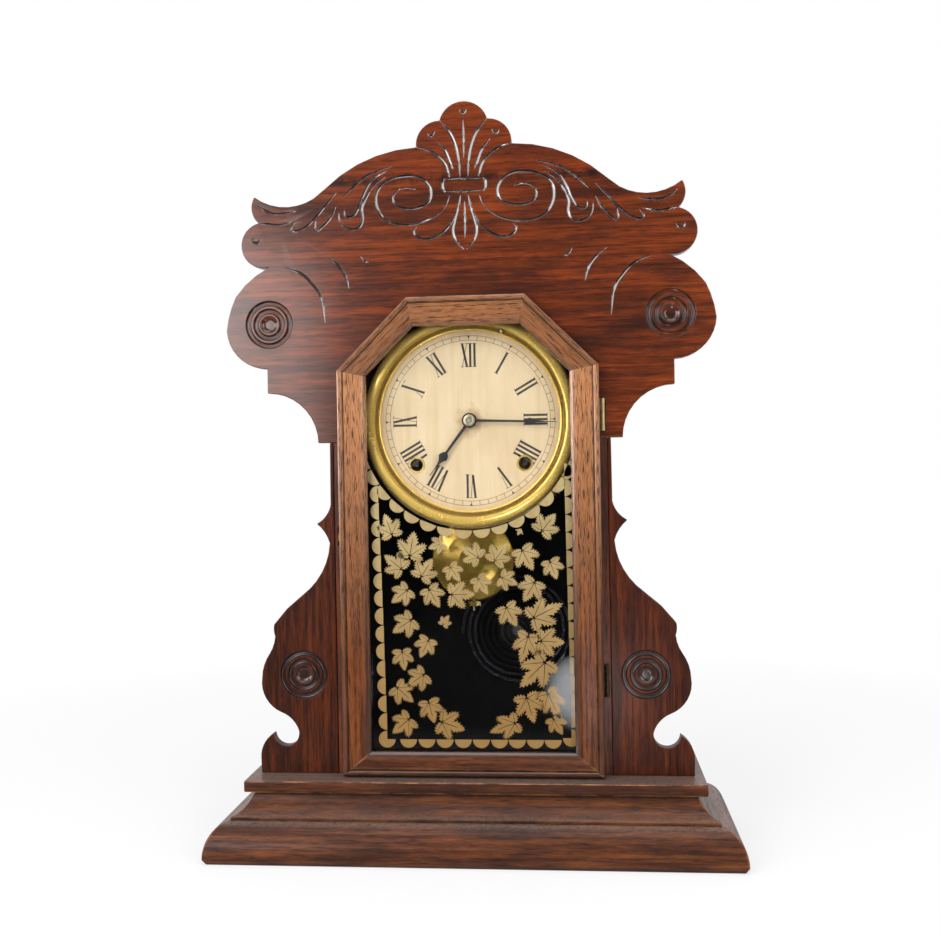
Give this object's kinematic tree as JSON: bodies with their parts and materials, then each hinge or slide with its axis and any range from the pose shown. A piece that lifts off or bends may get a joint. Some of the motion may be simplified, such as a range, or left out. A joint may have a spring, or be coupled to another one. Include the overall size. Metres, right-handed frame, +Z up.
{
  "type": "ogee shelf clock",
  "caption": "Tall oak kitchen shelf clock with a shaped, carved crest, a six-sided glazed door, a Roman dial, a pendulum and a coiled gong.",
  "frame": {"origin": "middle of the bottom of the bounding box, on the surface that the clock stands on", "axes": "+Z up, the dial and door face -Y, +X to the right of someone who looks at the dial"},
  "size_m": [0.3896, 0.128, 0.559],
  "materials": {
    "case_oak": "old varnish, satin",
    "crest_oak": "old varnish, glossy",
    "wing_oak": "old varnish, satin",
    "base_oak": "old varnish, satin",
    "door_oak": "old varnish, satin",
    "plain_wood": "unfinished",
    "glass": "clear, gilt ornament on the back",
    "brass": "lacquered, polished",
    "movement_brass": "dull, rolled",
    "dial_paint": "cream paint, semi-matt",
    "steel": "drawn, dull",
    "blued_steel": "blued, satin",
    "cast_iron": "black japan"
  },
  "bodies": {
    "case": {"back_board": "plain_wood", "case_side_left": "case_oak", "case_side_right": "case_oak", "case_top": "case_oak", "shelf_board": "base_oak", "crest_board": "crest_oak", "wing_left": "wing_oak", "wing_right": "wing_oak", "cove_front": "base_oak", "cove_returns": "base_oak", "plinth_front": "base_oak", "plinth_returns": "base_oak", "base_back_rail": "plain_wood", "glue_blocks": "plain_wood", "hinge_leaves_case": "brass", "door_catch": "brass", "dial_pan": "dial_paint", "dial_ring": "brass", "dial_eyelets": "brass", "dial_battens": "plain_wood", "front_plate": "movement_brass", "back_plate": "movement_brass", "plate_pillars": "movement_brass", "pillar_nuts": "steel", "suspension": "movement_brass", "mainsprings": "blued_steel", "gong_stand": "cast_iron", "gong_coil": "blued_steel"},
    "door": {"door_stile_left": "door_oak", "door_stile_right": "door_oak", "door_bottom_rail": "door_oak", "door_top_rail": "door_oak", "door_slant_left": "door_oak", "door_slant_right": "door_oak", "door_glass": "glass", "glazing_strips": "plain_wood", "hinge_leaves_door": "brass", "catch_tongue": "brass"},
    "minute_arbor": {"centre_arbor": "steel", "minute_hand": "blued_steel"},
    "minute_wheel": {"minute_wheel": "movement_brass"},
    "hour_pipe": {"hour_wheel": "movement_brass", "hour_hand": "blued_steel"},
    "escape_wheel": {"escape_wheel": "movement_brass"},
    "time_third_wheel": {"time_third_wheel": "movement_brass"},
    "centre_wheel": {"centre_wheel": "movement_brass"},
    "time_second_wheel": {"time_second_wheel": "movement_brass"},
    "time_great_wheel": {"time_great_wheel": "movement_brass"},
    "time_winding_arbor": {"time_winding_arbor": "steel"},
    "warning_wheel": {"warning_wheel": "movement_brass"},
    "fly": {"fly": "movement_brass"},
    "strike_third_wheel": {"strike_third_wheel": "movement_brass"},
    "strike_second_wheel": {"strike_second_wheel": "movement_brass"},
    "strike_great_wheel": {"strike_great_wheel": "movement_brass"},
    "strike_winding_arbor": {"strike_winding_arbor": "steel"},
    "pendulum": {"pendulum_rod": "steel"},
    "bob": {"pendulum_bob": "movement_brass"},
    "rating_nut": {"rating_nut": "movement_brass"},
    "verge": {"verge": "steel"},
    "hammer": {"hammer": "steel"}
  },
  "joints": [
    {"name": "door_swing", "type": "hinge", "parent": "case", "child": "door", "pos_m": [0.1001, -0.0164, 0.223], "axis": [0, 0, 1], "range_deg": [0, 100]},
    {"name": "hands_turn", "type": "hinge", "parent": "case", "child": "minute_arbor", "pos_m": [0, 0.0345, 0.3202], "axis": [0, 1, 0], "continuous": true},
    {"name": "minute_wheel_turn", "type": "hinge", "parent": "case", "child": "minute_wheel", "pos_m": [-0.01353, 0.0115, 0.31528], "axis": [0, 1, 0], "continuous": true},
    {"name": "hour_hand_turn", "type": "hinge", "parent": "case", "child": "hour_pipe", "pos_m": [0, 0.0035, 0.3202], "axis": [0, 1, 0], "continuous": true},
    {"name": "escape_turn", "type": "hinge", "parent": "case", "child": "escape_wheel", "pos_m": [0, 0.0345, 0.3582], "axis": [0, 1, 0], "continuous": true},
    {"name": "time_third_turn", "type": "hinge", "parent": "case", "child": "time_third_wheel", "pos_m": [0.0147, 0.0345, 0.3432], "axis": [0, 1, 0], "continuous": true},
    {"name": "centre_turn", "type": "hinge", "parent": "case", "child": "centre_wheel", "pos_m": [0, 0.0345, 0.3202], "axis": [0, 1, 0], "continuous": true},
    {"name": "time_second_turn", "type": "hinge", "parent": "case", "child": "time_second_wheel", "pos_m": [0.03123, 0.0345, 0.32431], "axis": [0, 1, 0], "continuous": true},
    {"name": "time_great_turn", "type": "hinge", "parent": "case", "child": "time_great_wheel", "pos_m": [0.0414, 0.0345, 0.2872], "axis": [0, 1, 0], "continuous": true},
    {"name": "time_winding", "type": "hinge", "parent": "time_great_wheel", "child": "time_winding_arbor", "pos_m": [0.0414, 0.0345, 0.2872], "axis": [0, 1, 0], "continuous": true},
    {"name": "warning_turn", "type": "hinge", "parent": "case", "child": "warning_wheel", "pos_m": [-0.03461, 0.0345, 0.36401], "axis": [0, 1, 0], "continuous": true},
    {"name": "fly_turn", "type": "hinge", "parent": "case", "child": "fly", "pos_m": [-0.02669, 0.0345, 0.37762], "axis": [0, 1, 0], "continuous": true},
    {"name": "strike_third_turn", "type": "hinge", "parent": "case", "child": "strike_third_wheel", "pos_m": [-0.03111, 0.0345, 0.34432], "axis": [0, 1, 0], "continuous": true},
    {"name": "strike_second_turn", "type": "hinge", "parent": "case", "child": "strike_second_wheel", "pos_m": [-0.03791, 0.0345, 0.32552], "axis": [0, 1, 0], "continuous": true},
    {"name": "strike_great_turn", "type": "hinge", "parent": "case", "child": "strike_great_wheel", "pos_m": [-0.0414, 0.0345, 0.2872], "axis": [0, 1, 0], "continuous": true},
    {"name": "strike_winding", "type": "hinge", "parent": "strike_great_wheel", "child": "strike_winding_arbor", "pos_m": [-0.0414, 0.0345, 0.2872], "axis": [0, 1, 0], "continuous": true},
    {"name": "pendulum_swing", "type": "hinge", "parent": "case", "child": "pendulum", "pos_m": [0, 0.0055, 0.37832], "axis": [0, 1, 0], "range_deg": [-3.5, 3.5]},
    {"name": "verge_rock", "type": "hinge", "parent": "case", "child": "verge", "pos_m": [0, 0.0345, 0.37832], "axis": [0, 1, 0], "range_deg": [-3.5, 3.5]},
    {"name": "bob_slide", "type": "slide", "parent": "pendulum", "child": "bob", "axis": [0, 0, 1], "range_m": [-0.002, 0.002]},
    {"name": "nut_turn", "type": "hinge", "parent": "bob", "child": "rating_nut", "pos_m": [0, 0.0055, 0.1808], "axis": [0, 0, 1], "range_deg": [-720, 720]},
    {"name": "hammer_lift", "type": "hinge", "parent": "case", "child": "hammer", "pos_m": [-0.003, 0.0345, 0.2922], "axis": [0, 1, 0], "range_deg": [0, 12]}
  ],
  "couplings": [
    {"joint": "minute_wheel_turn", "follows": "hands_turn", "ratio": -0.33333},
    {"joint": "hour_hand_turn", "follows": "hands_turn", "ratio": 0.083333},
    {"joint": "time_third_turn", "follows": "escape_turn", "ratio": -0.076923},
    {"joint": "centre_turn", "follows": "escape_turn", "ratio": 0.0064103},
    {"joint": "time_second_turn", "follows": "escape_turn", "ratio": -0.0032051},
    {"joint": "time_great_turn", "follows": "escape_turn", "ratio": 0.00040064},
    {"joint": "fly_turn", "follows": "warning_turn", "ratio": -8},
    {"joint": "strike_third_turn", "follows": "warning_turn", "ratio": -0.11111},
    {"joint": "strike_second_turn", "follows": "warning_turn", "ratio": 0.012346},
    {"joint": "strike_great_turn", "follows": "warning_turn", "ratio": -0.0015432},
    {"joint": "verge_rock", "follows": "pendulum_swing", "ratio": 1},
    {"joint": "nut_turn", "follows": "bob_slide", "rad_per_m": 6283.2}
  ]
}
